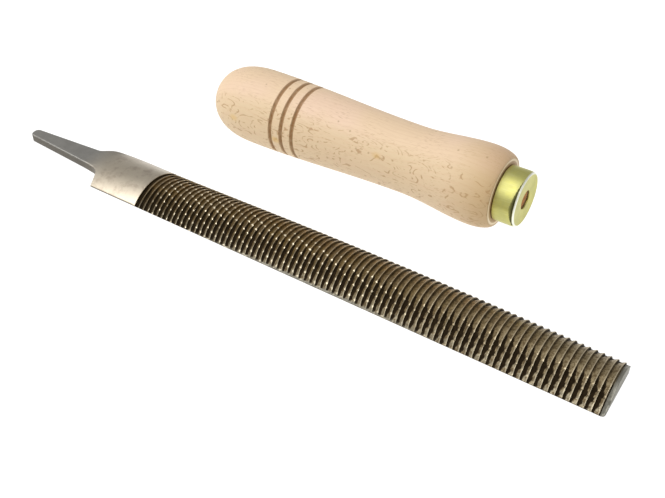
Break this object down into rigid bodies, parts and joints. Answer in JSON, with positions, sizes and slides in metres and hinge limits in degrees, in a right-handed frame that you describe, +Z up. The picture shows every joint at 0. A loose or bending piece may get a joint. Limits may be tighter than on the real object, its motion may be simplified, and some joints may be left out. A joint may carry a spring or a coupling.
{
  "type": "wood rasp",
  "caption": "Half-round wood rasp with a tapered tang and chip-breaking cross teeth, lying beside its loose turned wooden handle with a plated metal ferrule.",
  "frame": {"origin": "on the bench surface, under the middle of the bounding box of the blade and the handle lying side by side", "axes": "+X along the blade from its tang to its point, +Y from the blade towards the handle, +Z up from the bench"},
  "size_m": [0.242, 0.0776, 0.0294],
  "materials": {
    "tempered_steel": "forged and cut steel, bronze-brown temper colour over the teeth, ground grey shank and satin grey tang",
    "beech": "turned and sanded pale beech with short dark ray flecks and three burnt-brown turned grooves",
    "plated_ferrule": "drawn cup, yellow-green plated finish, semi-gloss"
  },
  "bodies": {
    "blade": {"rasp_blade": "tempered_steel"},
    "handle": {"beech_handle": "beech", "ferrule": "plated_ferrule"}
  },
  "joints": [
    {"name": "handle_lift", "type": "slide", "parent": "blade", "child": "handle", "axis": [0, 0, 1], "range_m": [0, 0.08]}
  ]
}
